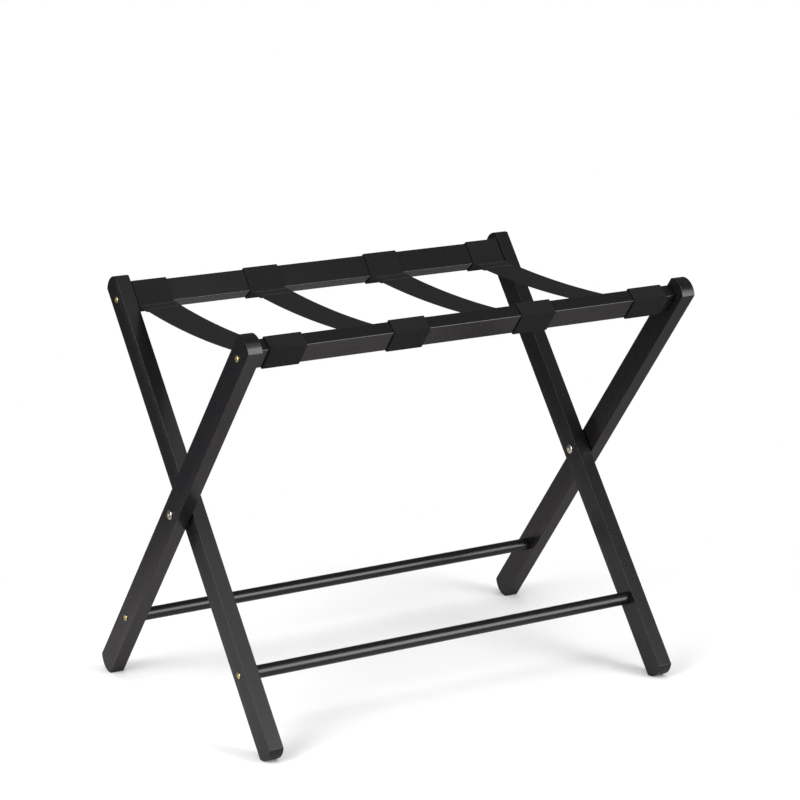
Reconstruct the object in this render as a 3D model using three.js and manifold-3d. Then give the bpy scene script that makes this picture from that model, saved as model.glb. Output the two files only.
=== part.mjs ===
// Folding luggage rack: two crossed wooden frames on two pivots, with four webbing straps over the top.
// Millimetres, +Z up. The origin is on the floor under the middle of the open rack.
// X runs along the rails. The outer frame's rail is at -Y and the inner frame's rail is at +Y.
import * as THREE from 'three';
import { mergeVertices } from 'three/addons/utils/BufferGeometryUtils.js';
import Module from 'manifold-3d';

const wasm = await Module();
wasm.setup();

// Whole rack, open.
const overallLength = 620; // over the outer faces of the outer legs
const lean = THREE.MathUtils.degToRad(38); // of each leg from upright
const legTopReach = 319; // pivot to the tip of a leg's domed top
const legFootReach = 318.5; // pivot to the tip of a leg's domed foot

// Legs.
const legThickness = 18.4;
const legWidth = 31.2;
const legEndRadius = 22.4; // of the dome on each end
const legGap = 2.8; // between an outer leg and the inner leg beside it
const arris = 0.8; // chamfer along every wooden edge
const footFlatDepth = 0.1; // taken off each foot where it stands on the floor

// Top rails, between the legs of their own frame.
const railHeight = 31.2; // along the leg
const railDepth = 17.6; // across the leg
const railFromTop = 30; // tip of the leg to the middle of the rail
const railInset = 10.2; // leg's outer edge to the rail's outer face

// Stretchers, round bars seated in blind sockets in the legs.
const stretcherDiameter = 16;
const stretcherFromFoot = 106.5; // tip of the foot to the middle of the stretcher
const socketDepth = 8;

// Wood screws through the legs into the rail and stretcher ends.
const screwHeadDiameter = 8.2;
const screwHeadHeight = 1.5;
const screwShankDiameter = 4;
const screwLength = 45;
const screwPointLength = 6;
const screwTipDiameter = 1;
const screwRecess = { length: 4.6, width: 1.1, depth: 0.9 }; // a cross

// Locating pins that stop each rail from turning on its screw.
const pinDiameter = 6;
const pinLength = 24;
const pinDepthInLeg = 10;
const pinFromScrew = 9.5; // down the rail

// Pivots: a bolt from outside, a sleeve nut from inside, and a washer between the legs.
const pivotHeadDiameter = 12.2;
const pivotHeadHeight = 2.2;
const pivotHeadRim = 0.7; // straight part of the head's edge
const sleeveDiameter = 8;
const boltDiameter = 5;
const boltEngagement = 30; // of the bolt's shank inside the sleeve
const washerDiameter = 20;
const pivotRecess = { length: 6.6, width: 1.6, depth: 1.2 }; // a cross

// Straps, numbered 1 to 4 from -X to +X.
const strapWidth = 48;
const webbing = 1.6; // thickness
const loopCornerRadius = 2.4; // outside corners of a loop
const strapLegGap = 1.2; // an outermost strap's back loop to the inner leg beside it
const strapSkew = 7; // an outermost strap's front loop sits this much further out than its back loop
const middleStrapOffset = 88; // centre of the rack to the middle of an inner strap
const strapSag = 7.5; // of the span's middle below its ends
const spanSteps = 15; // odd, so the middle of the span is a level flat

// Clearances.
const fitGap = 0.3; // between faces that meet, and round everything in a hole
const blindEndGap = 1; // behind whatever ends in a blind hole

// Roundness.
const domeSteps = 12;
const holeSides = 20;
const screwSides = 20;
const barSides = 32;
const headRings = 3;

// Places that follow from the sizes.
const railMiddle = legTopReach - railFromTop; // up the leg from the pivot
const railOuterFace = -legWidth / 2 + railInset; // across the leg, on the outer frame
const railAcross = railOuterFace + railDepth / 2;
const stretcherMiddle = -(legFootReach - stretcherFromFoot);

const outerFrame = { name: 'outer', side: 1, face: overallLength / 2, loop: 'front' };
const innerFrame = { name: 'inner', side: -1, face: overallLength / 2 - legThickness - legGap, loop: 'back' };
const ends = [{ name: 'left', sign: -1 }, { name: 'right', sign: 1 }];
const railEndX = (frame) => frame.face - legThickness;

const paint = { color: 0x242326, roughness: 0.42, metalness: 0 };
const bareWood = { color: 0xc8a878, roughness: 0.75, metalness: 0 };
const brass = { color: 0xb49450, roughness: 0.32, metalness: 1 };
const nickel = { color: 0xc4c2b8, roughness: 0.26, metalness: 1 };
const nylon = { color: 0x1c1c1e, roughness: 0.5, metalness: 0 };
const webbingCloth = { color: 0x1d1e20, roughness: 0.92, metalness: 0 };

function piece(name, geometry, finish) {
  const mesh = new THREE.Mesh(geometry, new THREE.MeshStandardMaterial(finish));
  mesh.name = name;
  return mesh;
}

function toSolid(geometry) {
  const bare = geometry.clone();
  bare.deleteAttribute('normal');
  bare.deleteAttribute('uv');
  const merged = mergeVertices(bare, 1e-4);
  const vertProperties = new Float32Array(merged.attributes.position.array);
  const triVerts = new Uint32Array(merged.index.array);
  return new wasm.Manifold(new wasm.Mesh({ numProp: 3, vertProperties, triVerts }));
}

function toGeometry(solid) {
  const { vertProperties, triVerts } = solid.getMesh();
  const geometry = new THREE.BufferGeometry();
  geometry.setAttribute('position', new THREE.BufferAttribute(new Float32Array(vertProperties), 3));
  geometry.setIndex(new THREE.BufferAttribute(new Uint32Array(triVerts), 1));
  geometry.computeVertexNormals();
  return geometry;
}

function cutAway(geometry, tools) {
  const solid = tools.reduce((left, tool) => left.subtract(toSolid(tool)), toSolid(geometry));
  return toGeometry(solid);
}

// A round bar or hole along X, from x0 to x1.
function bar(x0, x1, diameter, y, z, sides) {
  const geometry = new THREE.CylinderGeometry(diameter / 2, diameter / 2, Math.abs(x1 - x0), sides);
  geometry.rotateZ(Math.PI / 2);
  return geometry.translate((x0 + x1) / 2, y, z);
}

function hole(x0, x1, diameter, y, z) {
  return bar(x0, x1, diameter + 2 * fitGap, y, z, holeSides);
}

// A flat outline in (across, along) pushed along X, centred on x = 0, with its edges chamfered.
function barFromOutline(outline, length, chamfer) {
  const geometry = new THREE.ExtrudeGeometry(new THREE.Shape(outline), {
    depth: length - 2 * chamfer,
    bevelEnabled: chamfer > 0,
    bevelSegments: 1,
    bevelThickness: chamfer,
    bevelSize: chamfer,
    bevelOffset: -chamfer,
  });
  geometry.translate(0, 0, chamfer - length / 2);
  const across = new THREE.Vector3(0, 1, 0);
  const along = new THREE.Vector3(0, 0, 1);
  const outwards = new THREE.Vector3(1, 0, 0);
  return geometry.applyMatrix4(new THREE.Matrix4().makeBasis(across, along, outwards));
}

// Half a leg's outline: the dome on one end, in (across, along), with reach the tip's distance.
function dome(reach, sign) {
  const halfAngle = Math.asin(legWidth / 2 / legEndRadius);
  const points = [];
  for (let step = 0; step <= domeSteps; step += 1) {
    const angle = sign * halfAngle * (1 - 2 * step / domeSteps);
    const along = sign * (reach - legEndRadius + legEndRadius * Math.cos(angle));
    points.push(new THREE.Vector2(legEndRadius * Math.sin(angle), along));
  }
  return points;
}

function legOutline() {
  return [...dome(legTopReach, 1), ...dome(legFootReach, -1)];
}

// How far below the pivot the lowest point of an open leg lies, before the foot's flat is taken off.
function footReach() {
  const drops = legOutline().map((point) => -(point.y * Math.cos(lean) + point.x * Math.sin(lean)));
  return Math.max(...drops);
}

const pivotHeight = footReach() - footFlatDepth;

// Everything below the floor, in the coordinates of a frame that leans.
function belowFloor(frame) {
  const block = new THREE.BoxGeometry(2 * legThickness, 4 * legFootReach, legWidth);
  block.translate(0, 0, -legWidth / 2 - pivotHeight);
  return block.rotateX(-frame.side * lean);
}

function legHoles(end) {
  const inner = -end.sign * legThickness / 2;
  const past = -end.sign * 1;
  const through = (diameter, along) => hole(-legThickness, legThickness, diameter, 0, along);
  const blind = (depth, diameter, across, along) => (
    hole(inner + past, inner + end.sign * depth, diameter, across, along));
  return { through, blind };
}

function leg(frame, end) {
  const { through, blind } = legHoles(end);
  const pinAcross = frame.side * railAcross;
  const body = cutAway(barFromOutline(legOutline(), legThickness, arris), [
    through(screwShankDiameter, railMiddle),
    blind(pinDepthInLeg + blindEndGap, pinDiameter, pinAcross, railMiddle - pinFromScrew),
    through(sleeveDiameter, 0),
    through(screwShankDiameter, stretcherMiddle),
    blind(socketDepth, stretcherDiameter, 0, stretcherMiddle),
    belowFloor(frame),
  ]);
  const mesh = piece(`${frame.name}_leg_${end.name}`, body, paint);
  mesh.position.x = end.sign * (frame.face - legThickness / 2);
  return mesh;
}

function rectangle(width, height) {
  return [[-1, -1], [1, -1], [1, 1], [-1, 1]].map(([x, y]) => new THREE.Vector2(x * width / 2, y * height / 2));
}

function topRail(frame) {
  const half = railEndX(frame) - fitGap;
  const tools = ends.flatMap((end) => {
    const x = end.sign * half;
    const screwDepth = screwLength - legThickness + blindEndGap;
    const pinDepth = pinLength - pinDepthInLeg + blindEndGap;
    const screwAcross = -frame.side * railAcross;
    return [
      hole(x + end.sign, x - end.sign * screwDepth, screwShankDiameter, screwAcross, 0),
      hole(x + end.sign, x - end.sign * pinDepth, pinDiameter, 0, -pinFromScrew),
    ];
  });
  const body = cutAway(barFromOutline(rectangle(railDepth, railHeight), 2 * half, arris), tools);
  const mesh = piece(`${frame.name}_top_rail`, body, paint);
  mesh.position.set(0, frame.side * railAcross, railMiddle);
  return mesh;
}

function stretcher(frame) {
  const half = railEndX(frame) + socketDepth - fitGap;
  const screwDepth = screwLength - (legThickness - socketDepth) + blindEndGap;
  const tools = ends.map((end) => (
    hole(end.sign * (half + 1), end.sign * (half - screwDepth), screwShankDiameter, 0, 0)));
  const body = cutAway(bar(-half, half, stretcherDiameter, 0, 0, barSides), tools);
  const mesh = piece(`${frame.name}_stretcher`, body, paint);
  mesh.position.z = stretcherMiddle;
  return mesh;
}

// A turned profile of [radius, distance inwards] pairs, its head towards -X.
function turned(profile, sides) {
  const points = profile.map(([radius, x]) => new THREE.Vector2(radius, x));
  return new THREE.LatheGeometry(points, sides).rotateZ(-Math.PI / 2);
}

// The domed outside of a head, from the axis to its rim, as profile points.
function domedHead(diameter, height, rim) {
  const points = [];
  for (let ring = 0; ring <= headRings; ring += 1) {
    const angle = (Math.PI / 2) * (ring / headRings);
    const radius = diameter / 2 * Math.sin(angle);
    points.push([ring === 0 ? 0 : radius, -rim - (height - rim) * Math.cos(angle)]);
  }
  return points;
}

// Cuts a cross recess into a head whose top is headHeight above x = 0.
function cutRecess(body, headHeight, { length, width, depth }) {
  const floor = depth - headHeight;
  return cutAway(body, [[length, width], [width, length]].map(([y, z]) => (
    new THREE.BoxGeometry(2, y, z).translate(floor - 1, 0, 0))));
}

function woodScrew() {
  const shank = screwShankDiameter / 2;
  const body = turned([
    ...domedHead(screwHeadDiameter, screwHeadHeight, screwHeadHeight / 4),
    [screwHeadDiameter / 2, 0],
    [shank, 0],
    [shank, screwLength - screwPointLength],
    [screwTipDiameter / 2, screwLength],
    [0, screwLength],
  ], screwSides);
  return cutRecess(body, screwHeadHeight, screwRecess);
}

// Turns a fastener made with its head towards -X so that its head faces out at this end.
function faceOut(mesh, end, x, z) {
  mesh.rotation.z = end.sign > 0 ? Math.PI : 0;
  mesh.position.set(end.sign * x, 0, z);
  return mesh;
}

function frameScrews(frame, end) {
  const places = { rail: railMiddle, stretcher: stretcherMiddle };
  return Object.entries(places).map(([where, along]) => {
    const mesh = piece(`${frame.name}_${where}_screw_${end.name}`, woodScrew(), brass);
    return faceOut(mesh, end, frame.face + fitGap, along);
  });
}

function railPin(frame, end) {
  const outer = railEndX(frame) + pinDepthInLeg;
  const body = bar(end.sign * outer, end.sign * (outer - pinLength), pinDiameter, 0, 0, holeSides);
  const mesh = piece(`${frame.name}_rail_pin_${end.name}`, body, bareWood);
  mesh.position.set(0, frame.side * railAcross, railMiddle - pinFromScrew);
  return mesh;
}

function roundedRectangle(path, width, height, radius) {
  const x = width / 2;
  const y = height / 2;
  path.moveTo(x, -y + radius);
  path.lineTo(x, y - radius);
  path.absarc(x - radius, y - radius, radius, 0, Math.PI / 2);
  path.lineTo(-x + radius, y);
  path.absarc(-x + radius, y - radius, radius, Math.PI / 2, Math.PI);
  path.lineTo(-x, -y + radius);
  path.absarc(-x + radius, -y + radius, radius, Math.PI, 1.5 * Math.PI);
  path.lineTo(x - radius, -y);
  path.absarc(x - radius, -y + radius, radius, 1.5 * Math.PI, 2 * Math.PI);
  return path;
}

// The webbing wrapped round a rail.
function loopBody() {
  const inner = { width: railDepth + 2 * fitGap, height: railHeight + 2 * fitGap };
  const outer = { width: inner.width + 2 * webbing, height: inner.height + 2 * webbing };
  const shape = roundedRectangle(new THREE.Shape(), outer.width, outer.height, loopCornerRadius);
  const opening = roundedRectangle(new THREE.Path(), inner.width, inner.height, loopCornerRadius - webbing);
  shape.holes.push(opening);
  const geometry = new THREE.ExtrudeGeometry(shape, { depth: strapWidth, bevelEnabled: false, curveSegments: 3 });
  geometry.translate(0, 0, -strapWidth / 2);
  geometry.applyMatrix4(new THREE.Matrix4().makeBasis(
    new THREE.Vector3(0, 1, 0), new THREE.Vector3(0, 0, 1), new THREE.Vector3(1, 0, 0)));
  return toGeometry(toSolid(geometry));
}

function strapPlaces() {
  const outermostBack = railEndX(innerFrame) - strapLegGap - strapWidth / 2;
  const outermostFront = outermostBack + strapSkew;
  return [
    { front: -outermostFront, back: -outermostBack },
    { front: -middleStrapOffset, back: -middleStrapOffset },
    { front: middleStrapOffset, back: middleStrapOffset },
    { front: outermostFront, back: outermostBack },
  ];
}

function frameLoops(frame) {
  return strapPlaces().map((place, index) => {
    const mesh = piece(`strap_${index + 1}_${frame.loop}_loop`, loopBody(), webbingCloth);
    mesh.position.set(place[frame.loop], frame.side * railAcross, railMiddle);
    return mesh;
  });
}

// The single layer of webbing between the two loops of a strap, sagging in a parabola. Its ends are at
// the lowest inner corners of the loops, and it slants in plan where its two loops are not in line.
function strapSpan(place, index) {
  const growth = fitGap + webbing;
  const along = railMiddle - railHeight / 2 - growth;
  const across = railAcross + railDepth / 2 + growth;
  const endY = along * Math.sin(lean) - across * Math.cos(lean);
  const endZ = pivotHeight + along * Math.cos(lean) + across * Math.sin(lean);
  const top = [];
  const bottom = [];
  for (let step = 0; step <= spanSteps; step += 1) {
    const share = 2 * step / spanSteps - 1;
    const z = endZ - strapSag * (1 - share * share);
    top.push(new THREE.Vector2(share * endY, z + webbing / 2));
    bottom.unshift(new THREE.Vector2(share * endY, z - webbing / 2));
  }
  const body = barFromOutline([...bottom, ...top], strapWidth, 0);
  const slant = (place.back - place.front) / (2 * endY);
  body.applyMatrix4(new THREE.Matrix4().makeShear(0, 0, slant, 0, 0, 0));
  const mesh = piece(`strap_${index + 1}_span`, toGeometry(toSolid(body)), webbingCloth);
  mesh.position.x = (place.front + place.back) / 2;
  return mesh;
}

function pivotBolt() {
  const shank = boltDiameter / 2;
  const body = turned([
    ...domedHead(pivotHeadDiameter, pivotHeadHeight, pivotHeadRim),
    [pivotHeadDiameter / 2, 0],
    [shank, 0],
    [shank, boltEngagement],
    [0, boltEngagement],
  ], barSides);
  return cutRecess(body, pivotHeadHeight, pivotRecess);
}

function pivotSleeve() {
  const reach = 2 * legThickness + legGap - blindEndGap;
  const bore = boltDiameter / 2 + fitGap;
  const boreFloor = 2 * legThickness + legGap - boltEngagement - blindEndGap;
  const body = turned([
    ...domedHead(pivotHeadDiameter, pivotHeadHeight, pivotHeadRim),
    [pivotHeadDiameter / 2, 0],
    [sleeveDiameter / 2, 0],
    [sleeveDiameter / 2, reach],
    [bore, reach],
    [bore, boreFloor],
    [0, boreFloor],
  ], barSides);
  return cutRecess(body, pivotHeadHeight, pivotRecess);
}

function pivotWasher() {
  const thickness = legGap - 2 * fitGap;
  const bore = hole(-legGap, legGap, sleeveDiameter, 0, 0);
  return cutAway(bar(-thickness / 2, thickness / 2, washerDiameter, 0, 0, barSides), [bore]);
}

function pivot(end) {
  const bolt = piece(`pivot_bolt_${end.name}`, pivotBolt(), nickel);
  faceOut(bolt, end, outerFrame.face + fitGap, pivotHeight);
  const sleeve = piece(`pivot_sleeve_${end.name}`, pivotSleeve(), nickel);
  const inwards = { sign: -end.sign };
  faceOut(sleeve, inwards, fitGap - railEndX(innerFrame), pivotHeight);
  const washer = piece(`pivot_washer_${end.name}`, pivotWasher(), nylon);
  washer.position.set(end.sign * (innerFrame.face + legGap / 2), 0, pivotHeight);
  return [bolt, sleeve, washer];
}

function crossedFrame(frame) {
  const group = new THREE.Group();
  group.rotation.x = frame.side * lean;
  group.position.z = pivotHeight;
  group.add(topRail(frame), stretcher(frame), ...frameLoops(frame));
  for (const end of ends) {
    group.add(leg(frame, end), ...frameScrews(frame, end), railPin(frame, end));
  }
  return group;
}

const rack = new THREE.Group();
rack.add(crossedFrame(outerFrame), crossedFrame(innerFrame), ...ends.flatMap(pivot));
rack.add(...strapPlaces().map(strapSpan));

export default rack;
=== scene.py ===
import math
from contextlib import contextmanager
from functools import wraps

import bmesh
import bpy
from mathutils import Matrix, Vector


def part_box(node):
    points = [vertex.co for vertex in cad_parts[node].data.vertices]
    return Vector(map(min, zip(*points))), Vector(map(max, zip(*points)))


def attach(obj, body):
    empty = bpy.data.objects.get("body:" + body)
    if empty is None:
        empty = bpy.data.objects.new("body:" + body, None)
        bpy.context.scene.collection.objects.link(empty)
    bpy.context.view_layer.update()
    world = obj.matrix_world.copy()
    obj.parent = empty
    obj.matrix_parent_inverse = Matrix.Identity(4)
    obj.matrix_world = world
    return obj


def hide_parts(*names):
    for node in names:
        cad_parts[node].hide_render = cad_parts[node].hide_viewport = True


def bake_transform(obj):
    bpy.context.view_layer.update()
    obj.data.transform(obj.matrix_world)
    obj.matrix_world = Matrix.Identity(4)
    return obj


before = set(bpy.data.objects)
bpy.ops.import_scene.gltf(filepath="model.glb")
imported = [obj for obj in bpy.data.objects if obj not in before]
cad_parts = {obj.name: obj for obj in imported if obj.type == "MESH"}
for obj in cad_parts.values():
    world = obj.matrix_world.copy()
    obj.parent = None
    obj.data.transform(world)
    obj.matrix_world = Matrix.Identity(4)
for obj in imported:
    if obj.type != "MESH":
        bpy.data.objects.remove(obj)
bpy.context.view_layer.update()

bl_info = {
    "name": "Folding luggage rack",
    "version": (1, 0, 0),
    "blender": (4, 5, 0),
    "location": "View3D > Sidebar > Rack",
    "description": "Builds a folding wooden luggage rack with webbing straps",
    "category": "Add Mesh",
}

# Places and sizes that the frame gives

FRAMES = {"outer": 1, "inner": -1}  # the sign of the direction that the legs lean in
ENDS = {"left": -1, "right": 1}
STRAPS = (1, 2, 3, 4)


def middle(node):
    """The middle of a CAD node's box."""
    low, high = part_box(node)
    return (low + high) / 2


def length_x(node):
    low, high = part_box(node)
    return high.x - low.x


PIVOT = Vector((0, 0, middle("pivot_washer_left").z))
LEAN = math.atan2(middle("outer_stretcher").y, PIVOT.z - middle("outer_stretcher").z)
UP_LEG = Vector((0, -math.sin(LEAN), math.cos(LEAN)))
ACROSS_LEG = Vector((0, math.cos(LEAN), math.sin(LEAN)))


def reach(node, direction):
    """How far a node of the outer frame lies from the pivot along a direction, from nearest to furthest."""
    reaches = [(vertex.co - PIVOT).dot(direction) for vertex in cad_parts[node].data.vertices]
    return min(reaches), max(reaches)


LEG_THICKNESS = length_x("outer_leg_left")
LEG_HALF_WIDTH = reach("outer_leg_left", ACROSS_LEG)[1]
LEG_FOOT, LEG_TOP = reach("outer_leg_left", UP_LEG)
LEG_X = {"outer": middle("outer_leg_right").x, "inner": middle("inner_leg_right").x}

RAIL_ACROSS = sum(reach("outer_top_rail", ACROSS_LEG)) / 2
RAIL_UP = sum(reach("outer_top_rail", UP_LEG)) / 2
RAIL_HALF_DEPTH = reach("outer_top_rail", ACROSS_LEG)[1] - RAIL_ACROSS
RAIL_HALF_HEIGHT = reach("outer_top_rail", UP_LEG)[1] - RAIL_UP

STRETCHER_UP = sum(reach("outer_stretcher", UP_LEG)) / 2
STRETCHER_DIAMETER = 2 * reach("outer_stretcher", ACROSS_LEG)[1]
FACE_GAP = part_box("outer_leg_right")[0].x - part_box("outer_top_rail")[1].x

PIN_UP = sum(reach("outer_rail_pin_left", UP_LEG)) / 2
PIN_DIAMETER = 2 * (reach("outer_rail_pin_left", UP_LEG)[1] - PIN_UP)

SCREW_HEAD_DIAMETER = reach("outer_rail_screw_left", ACROSS_LEG)[1] * 2
PIVOT_HEAD_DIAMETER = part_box("pivot_bolt_left")[1].y * 2
WASHER_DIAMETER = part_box("pivot_washer_left")[1].y * 2

STRAP_WIDTH = length_x("strap_2_front_loop")
LOOP_HALF_DEPTH = reach("strap_2_front_loop", ACROSS_LEG)[1] - RAIL_ACROSS
SPAN_LOW, SPAN_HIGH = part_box("strap_2_span")


def colour_property(name, description, default):
    return bpy.props.FloatVectorProperty(
        name=name, description=description, default=default, size=3, min=0, max=1, subtype="COLOR")


def length_property(name, description, default):
    return bpy.props.FloatProperty(
        name=name, description=description, default=default, min=0, precision=5,
        subtype="DISTANCE", unit="LENGTH")


def power_property(name, description, default):
    return bpy.props.FloatProperty(name=name, description=description, default=default, min=0, unit="POWER")


def angle_property(name, description, degrees):
    return bpy.props.FloatProperty(
        name=name, description=description, default=math.radians(degrees), subtype="ANGLE", unit="ROTATION")


def share_property(name, description, default):
    return bpy.props.FloatProperty(
        name=name, description=description, default=default, min=0, max=1, subtype="FACTOR")


class RackTimber(bpy.types.PropertyGroup):
    """Sizes and finish of the legs, top rails and stretchers."""

    end_radius: length_property("End radius", "Radius of the dome on each end of a leg", 0.0224)
    arris: length_property("Arris", "Width of the rounding along every wooden edge", 0.0011)
    blind_gap: length_property("Blind gap", "Room behind whatever ends in a blind hole", 0.001)
    paint: colour_property("Paint", "Colour of the satin paint", (0.0055, 0.0048, 0.0052))
    paint_roughness: share_property("Paint roughness", "Roughness of the satin paint", 0.27)
    bare_wood: colour_property("Bare wood", "Colour of the unpainted locating pins", (0.58, 0.42, 0.25))


class RackHardware(bpy.types.PropertyGroup):
    """Sizes and finish of the screws, pivot bolts, sleeve nuts and washers."""

    screw_head_height: length_property("Screw head height", "Height of a wood screw's domed head", 0.0015)
    screw_shank: length_property("Screw shank", "Diameter of a wood screw's shank", 0.004)
    screw_point: length_property("Screw point", "Length of a wood screw's taper", 0.006)
    screw_recess: length_property("Screw recess", "Length of a screw's cross recess", 0.0046)
    pivot_head_height: length_property("Pivot head height", "Height of a pivot head", 0.0022)
    pivot_recess: length_property("Pivot recess", "Length of a pivot's cross recess", 0.0066)
    sleeve: length_property("Sleeve", "Outside diameter of the sleeve nut", 0.008)
    bolt: length_property("Bolt", "Diameter of the pivot bolt", 0.005)
    bolt_reach: length_property("Bolt reach", "Length of the pivot bolt under its head", 0.03)
    brass: colour_property("Brass", "Colour of the yellow-plated screws", (0.9, 0.79, 0.38))
    nickel: colour_property("Nickel", "Colour of the plated pivot hardware", (0.92, 0.89, 0.76))
    nylon: colour_property("Nylon", "Colour of the pivot washers", (0.03, 0.03, 0.032))


class RackWebbing(bpy.types.PropertyGroup):
    """Sizes and finish of the straps."""

    thickness: length_property("Thickness", "Thickness of the webbing", 0.0016)
    corner: length_property("Corner", "Radius of the webbing's middle where it turns round a rail", 0.0016)
    tail: length_property("Tail", "Length of the sewn overlap beside each rail", 0.026)
    rib_pitch: length_property("Rib pitch", "Distance from rib to rib along the webbing", 0.0017)
    yarn_pitch: length_property("Yarn pitch", "Distance from yarn to yarn across the webbing", 0.0011)
    stitch_pitch: length_property("Stitch pitch", "Distance from stitch to stitch", 0.0034)
    colour: colour_property("Webbing", "Colour of the webbing", (0.0135, 0.0135, 0.0138))
    thread: colour_property("Thread", "Colour of the sewing thread", (0.008, 0.008, 0.0083))


class RackStage(bpy.types.PropertyGroup):
    """The floor, the lights and the camera."""

    floor_size: length_property("Floor size", "Side of the square floor", 30.0)
    floor_colour: colour_property("Floor colour", "Colour of the floor", (0.86, 0.86, 0.86))
    azimuth: angle_property("Azimuth", "Turn of the camera round the rack, 0 from the front", -31.238)
    elevation: angle_property("Elevation", "Height of the camera above the horizon", 14.169)
    distance: length_property("Distance", "From the camera to the point that it looks at", 3.4282)
    aim_right: length_property("Aim right", "Of the point looked at, from the rack's middle", 0.0116)
    aim_above_pivot: length_property("Aim above pivot", "Of the point looked at", 0.0994)
    lens: bpy.props.FloatProperty(
        name="Lens", description="Focal length on a 36 mm sensor", default=123.88, min=10, unit="CAMERA")
    overhead_power: power_property("Overhead power", "Power of the overhead panel", 48)
    softbox_power: power_property("Softbox power", "Power of the softbox at the front", 62)
    side_power: power_property("Side power", "Power of the softbox at the left", 65)
    high_power: power_property("High power", "Power of the softbox above the front", 7)


# Modelling helpers

ARC_STEPS = 128  # round a leg's domed end
BAR_STEPS = 72
HOLE_STEPS = 48
HEAD_STEPS = 48
SMOOTH_ANGLE = math.radians(35)
HEAD_EDGE_ANGLE = math.radians(40)
SELVEDGE_ANGLE = math.radians(60)
PAST_END = 0.001  # how far a drill runs out beyond the end that it enters
TOUCHING = 1e-6  # how close a point lies to a plane, or to another point, to count as on it


def deselect():
    bpy.ops.object.select_all(action="DESELECT")


def make_active(piece):
    deselect()
    piece.select_set(True)
    bpy.context.view_layer.objects.active = piece


def take_name(name):
    """Names the object that an operator has just added."""
    piece = bpy.context.active_object
    piece.name = name
    piece.data.name = name
    return piece


def select_whole():
    bpy.ops.mesh.select_all(action="SELECT")


def apply_transform():
    bpy.ops.object.transform_apply(location=True, rotation=True, scale=True)


@contextmanager
def editing(piece):
    make_active(piece)
    bpy.ops.object.mode_set(mode="EDIT")
    bpy.ops.mesh.select_mode(type="VERT")
    bpy.ops.mesh.select_all(action="DESELECT")
    yield
    bpy.ops.object.mode_set(mode="OBJECT")


def pick_vertices(piece, test):
    """Selects the vertices whose place passes the test, and nothing else."""
    mesh = bmesh.from_edit_mesh(piece.data)
    for vertex in mesh.verts:
        vertex.select_set(test(vertex.co))
    mesh.select_flush_mode()
    bmesh.update_edit_mesh(piece.data)


def apply_modifier(piece, kind, **settings):
    make_active(piece)
    modifier = piece.modifiers.new(kind.lower(), kind)
    for key, value in settings.items():
        setattr(modifier, key, value)
    bpy.ops.object.modifier_apply(modifier=modifier.name)


def round_edges(piece, width, segments=3, angle=math.radians(30)):
    apply_modifier(piece, "BEVEL", width=width, segments=segments, limit_method="ANGLE", angle_limit=angle)


def cut(piece, tool):
    """Takes a tool's shape out of a piece, and takes the tool away."""
    apply_modifier(piece, "BOOLEAN", operation="DIFFERENCE", solver="EXACT", object=tool)
    bpy.data.objects.remove(tool)


def add_bar(name, x0, x1, diameter, y=0.0, z=0.0, steps=HOLE_STEPS):
    """A round bar along X, from x0 to x1."""
    deselect()
    bpy.ops.mesh.primitive_cylinder_add(
        vertices=steps, radius=diameter / 2, depth=abs(x1 - x0), location=((x0 + x1) / 2, y, z),
        rotation=(0, math.pi / 2, 0))
    piece = take_name(name)
    apply_transform()
    return piece


def drill(piece, x0, x1, diameter, y=0.0, z=0.0):
    """Drills a hole for a bar of that diameter, with the clearance round it."""
    cut(piece, add_bar("drill", x0, x1, diameter + 2 * FACE_GAP, y, z))


def add_block(name, size, centre=(0, 0, 0)):
    deselect()
    bpy.ops.mesh.primitive_cube_add(size=1, location=centre, scale=size)
    piece = take_name(name)
    apply_transform()
    return piece


def slice_at(point, normal, **settings):
    """Cuts the whole mesh being edited with a plane."""
    select_whole()
    bpy.ops.mesh.bisect(plane_co=point, plane_no=normal, threshold=TOUCHING, **settings)


def turn_outwards(piece):
    with editing(piece):
        select_whole()
        bpy.ops.mesh.normals_make_consistent(inside=False)


def turned(name, profile, steps):
    """A piece turned about the X axis, from (x, radius) points."""
    deselect()
    bpy.ops.mesh.primitive_plane_add(size=profile[1][1])
    piece = take_name(name)
    with editing(piece):
        select_whole()
        bpy.ops.mesh.merge(type="CENTER")
        places = [Vector((x, 0, radius)) for x, radius in profile]
        bpy.ops.transform.translate(value=places[0])
        for last, place in zip(places, places[1:]):
            bpy.ops.mesh.extrude_region_move(TRANSFORM_OT_translate={"value": place - last})
        select_whole()
        bpy.ops.mesh.spin(steps=steps, angle=2 * math.pi, center=(0, 0, 0), axis=(1, 0, 0))
        select_whole()
        bpy.ops.mesh.remove_doubles(threshold=TOUCHING)
    turn_outwards(piece)
    return piece


def copied(master, name, mirror=(1, 1, 1)):
    """A copy with its own mesh, mirrored where a factor is -1."""
    make_active(master)
    bpy.ops.object.duplicate()
    piece = take_name(name)
    piece.scale = mirror
    apply_transform()
    if math.prod(mirror) < 0:
        turn_outwards(piece)
    return piece


def placed(piece, x=0.0, y=0.0, z=0.0, lean=0.0, turn=0.0):
    """Turns a piece about Z, moves it in its upright frame, leans that frame and sets it on the pivot."""
    upright = Matrix.Translation((x, y, z)) @ Matrix.Rotation(turn, 4, "Z")
    piece.matrix_world = Matrix.Translation(PIVOT) @ Matrix.Rotation(lean, 4, "X") @ upright
    make_active(piece)
    apply_transform()
    return piece


def mark_arrises(piece, is_rounded):
    """Stores which vertices lie on a rounded edge, for the paint."""
    mask = piece.data.attributes.new("arris", "FLOAT", "POINT")
    mask.data.foreach_set("value", [float(is_rounded(vertex.normal)) for vertex in piece.data.vertices])


def smooth(piece):
    make_active(piece)
    bpy.ops.object.shade_smooth_by_angle(angle=SMOOTH_ANGLE)
    apply_modifier(piece, "WEIGHTED_NORMAL", keep_sharp=True, weight=60)


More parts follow.
